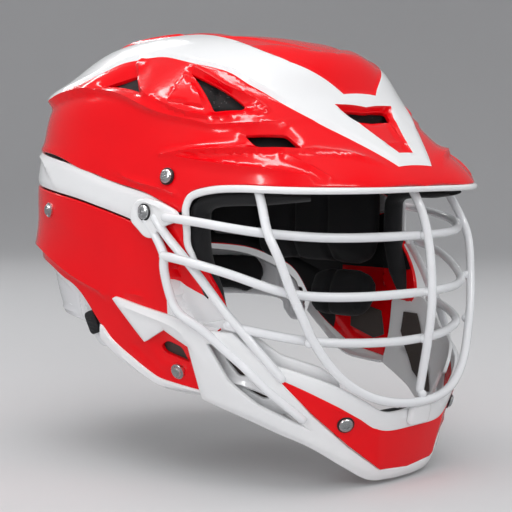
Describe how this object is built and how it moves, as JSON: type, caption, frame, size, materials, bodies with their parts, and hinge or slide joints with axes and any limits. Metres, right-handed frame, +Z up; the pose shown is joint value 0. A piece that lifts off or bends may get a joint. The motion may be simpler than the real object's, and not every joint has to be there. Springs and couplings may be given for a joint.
{
  "type": "lacrosse helmet",
  "caption": "Hard-shell lacrosse helmet with a brim, a wire face cage, a chin guard, a padded liner and a rear fit cradle that slides.",
  "frame": {"origin": "middle of the wearer's head, level with the brow, on the helmet's centre plane", "axes": "+Z up to the crown, -Y forwards through the face cage, +X to the wearer's left"},
  "size_m": [0.2338, 0.2966, 0.2717],
  "materials": {
    "red_shell": "high-gloss moulded red polycarbonate",
    "white_shell": "high-gloss moulded white polycarbonate",
    "white_trim": "satin white moulded nylon",
    "cage_coat": "white powder-coated welded steel wire",
    "foam": "matt black closed-cell foam with a fine skin",
    "black_plastic": "satin black moulded nylon",
    "fastener_steel": "bright zinc-plated steel"
  },
  "bodies": {
    "helmet": {"crown_shell": "red_shell", "visor": "red_shell", "lower_shell": "red_shell", "chin_insert": "red_shell", "rear_band": "white_shell", "jaw_trim_left": "white_shell", "jaw_trim_right": "white_shell", "chin_guard": "white_shell", "opening_trim": "white_trim", "rim_clip": "white_trim", "cage_clip_left": "white_trim", "cage_clip_right": "white_trim", "cage_bar_top": "cage_coat", "cage_bar_1": "cage_coat", "cage_bar_2": "cage_coat", "cage_bar_3": "cage_coat", "cage_loop": "cage_coat", "cage_upright": "cage_coat", "crown_liner": "foam", "brow_pad": "foam", "nape_pad": "foam", "chin_pad": "foam", "cage_stay_upper_left": "cage_coat", "cage_stay_lower_left": "cage_coat", "screw_upper_left": "fastener_steel", "screw_cage_left": "fastener_steel", "screw_chin_left": "fastener_steel", "snap_lower_left": "fastener_steel", "snap_rear_left": "fastener_steel", "temple_pad_left": "foam", "jaw_pad_left": "foam", "cage_stay_upper_right": "cage_coat", "cage_stay_lower_right": "cage_coat", "screw_upper_right": "fastener_steel", "screw_cage_right": "fastener_steel", "screw_chin_right": "fastener_steel", "snap_lower_right": "fastener_steel", "snap_rear_right": "fastener_steel", "temple_pad_right": "foam", "jaw_pad_right": "foam"},
    "rear_cradle": {"rear_cradle": "white_shell", "cradle_pad": "foam"},
    "latch_left": {"fit_latch_left": "black_plastic"},
    "latch_right": {"fit_latch_right": "black_plastic"}
  },
  "joints": [
    {"name": "cradle_fit", "type": "slide", "parent": "helmet", "child": "rear_cradle", "axis": [0, -1, 0], "range_m": [0, 0.012]},
    {"name": "latch_left_flip", "type": "hinge", "parent": "helmet", "child": "latch_left", "pos_m": [0.1005, 0.015, -0.0422], "axis": [0, 1, 0], "range_deg": [-75, 0]},
    {"name": "latch_right_flip", "type": "hinge", "parent": "helmet", "child": "latch_right", "pos_m": [-0.1005, 0.015, -0.0422], "axis": [0, -1, 0], "range_deg": [-75, 0]}
  ]
}
